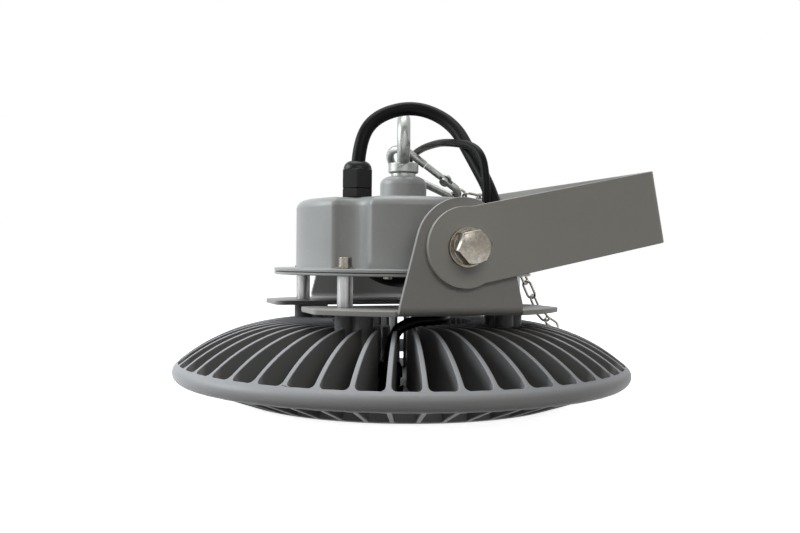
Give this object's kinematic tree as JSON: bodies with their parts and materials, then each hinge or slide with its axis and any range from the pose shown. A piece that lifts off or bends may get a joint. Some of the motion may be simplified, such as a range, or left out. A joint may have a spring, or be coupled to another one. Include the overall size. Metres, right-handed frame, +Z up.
{
  "type": "high bay light",
  "caption": "Round high bay light: finned cast heat sink, fluted driver housing on spacers over folded brackets, tilting yoke, eye bolt with snap hook and safety chain, leads.",
  "frame": {"origin": "on the fixture's axis at its flat bottom face, where the light leaves", "axes": "+Z up through the eye bolt, the yoke's pivot axis runs along Y, the yoke's cross bar reaches out to +X"},
  "size_m": [0.4, 0.4, 0.2562],
  "materials": {
    "housing_paint": "light warm grey powder coat, fine satin texture",
    "heat_sink_paint": "mid grey powder coat on a die casting, satin",
    "bracket_paint": "dark warm grey powder coat, satin",
    "yoke_paint": "dark grey powder coat, satin",
    "stainless": "stainless steel, turned and rolled",
    "bright_spacer": "bright drawn tube",
    "zinc_steel": "zinc plated steel",
    "black_nylon": "moulded nylon, satin",
    "black_rubber": "soft rubber",
    "lead_jacket": "smooth black cable jacket",
    "gasket_silicone": "dark silicone",
    "lens_clear": "clear tempered glass",
    "board_white": "white solder mask on a metal board",
    "led_chip": "yellow phosphor",
    "driver_can": "bare potted driver case"
  },
  "bodies": {
    "fixture": {"base_plate": "housing_paint", "base_plate_screws": "stainless", "base_plug": "black_rubber", "cap_screws": "stainless", "dimming_gland_body": "black_nylon", "dimming_gland_cap": "black_nylon", "dimming_gland_locknut": "black_nylon", "dimming_gland_seal": "black_rubber", "dimming_lead": "lead_jacket", "driver_housing": "housing_paint", "driver_module": "driver_can", "eye_bolt": "zinc_steel", "eye_bolt_nut": "zinc_steel", "eye_bolt_washer": "zinc_steel", "front_bracket": "bracket_paint", "gate_pin": "zinc_steel", "heat_sink": "heat_sink_paint", "housing_gasket": "gasket_silicone", "led_board": "board_white", "led_lead": "lead_jacket", "leds": "led_chip", "lens": "lens_clear", "lens_gasket": "gasket_silicone", "lens_ring": "heat_sink_paint", "lens_ring_screws": "stainless", "mains_gland_body": "black_nylon", "mains_gland_cap": "black_nylon", "mains_gland_locknut": "black_nylon", "mains_gland_seal": "black_rubber", "mains_lead": "lead_jacket", "module_gland": "black_nylon", "pivot_bolts": "stainless", "pivot_nuts": "stainless", "pivot_spring_washers": "stainless", "pivot_washers": "stainless", "rear_bracket": "bracket_paint", "safety_chain": "zinc_steel", "snap_hook": "zinc_steel", "spacers": "bright_spacer", "spring_washers": "stainless", "toothed_washers": "stainless"},
    "yoke": {"yoke": "yoke_paint"},
    "gate": {"hook_gate": "zinc_steel"}
  },
  "joints": [
    {"name": "yoke_tilt", "type": "hinge", "parent": "fixture", "child": "yoke", "pos_m": [0, 0, 0.1306], "axis": [0, -1, 0], "range_deg": [-20, 176]},
    {"name": "gate_swing", "type": "hinge", "parent": "fixture", "child": "gate", "pos_m": [0.03845, -0.00571, 0.19294], "axis": [-0.6413, -0.3458, -0.685], "range_deg": [0, 25], "stiffness_Nm_per_rad": 0.05, "springref_deg": -17.19}
  ]
}
